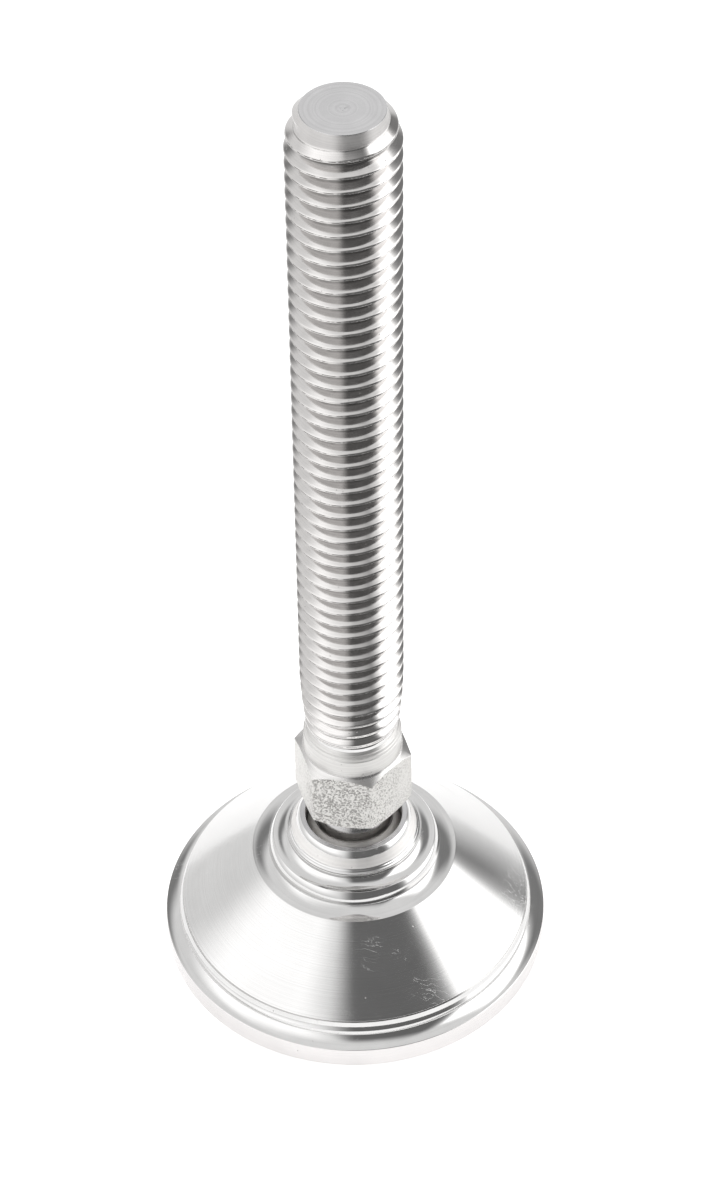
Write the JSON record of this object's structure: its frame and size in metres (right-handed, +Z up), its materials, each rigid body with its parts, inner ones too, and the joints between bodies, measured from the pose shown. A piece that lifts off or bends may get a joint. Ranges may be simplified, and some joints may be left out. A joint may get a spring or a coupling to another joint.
{
  "type": "furniture leveling foot",
  "caption": "Stainless steel swivel levelling foot: long threaded stud with a spanner hexagon, ball-jointed into a low turned conical base.",
  "frame": {"origin": "centre of the base's underside, on the floor", "axes": "+Z up along the upright spindle; +X towards a corner of the spindle's hexagon"},
  "size_m": [0.038, 0.038, 0.1009],
  "materials": {
    "polished_steel": "turned and polished stainless steel",
    "satin_steel": "fine turned, satin stainless steel",
    "turned_steel": "as turned and threaded stainless steel, mill-rough hexagon flats",
    "white_acetal": "machined",
    "black_rubber": "moulded"
  },
  "bodies": {
    "base": {"base": "polished_steel", "retaining_collar": "satin_steel"},
    "ring": {"preload_ring": "black_rubber"},
    "seat": {"ball_seat": "white_acetal"},
    "spindle": {"spindle": "turned_steel"}
  },
  "joints": [
    {"name": "lean_direction", "type": "hinge", "parent": "base", "child": "ring", "pos_m": [0, 0, 0.0125], "axis": [0, 0, 1], "continuous": true},
    {"name": "tilt", "type": "hinge", "parent": "ring", "child": "seat", "pos_m": [0, 0, 0.0125], "axis": [1, 0, 0], "range_deg": [-10, 10]},
    {"name": "spin", "type": "hinge", "parent": "seat", "child": "spindle", "pos_m": [0, 0, 0.0125], "axis": [0, 0, 1], "continuous": true}
  ]
}
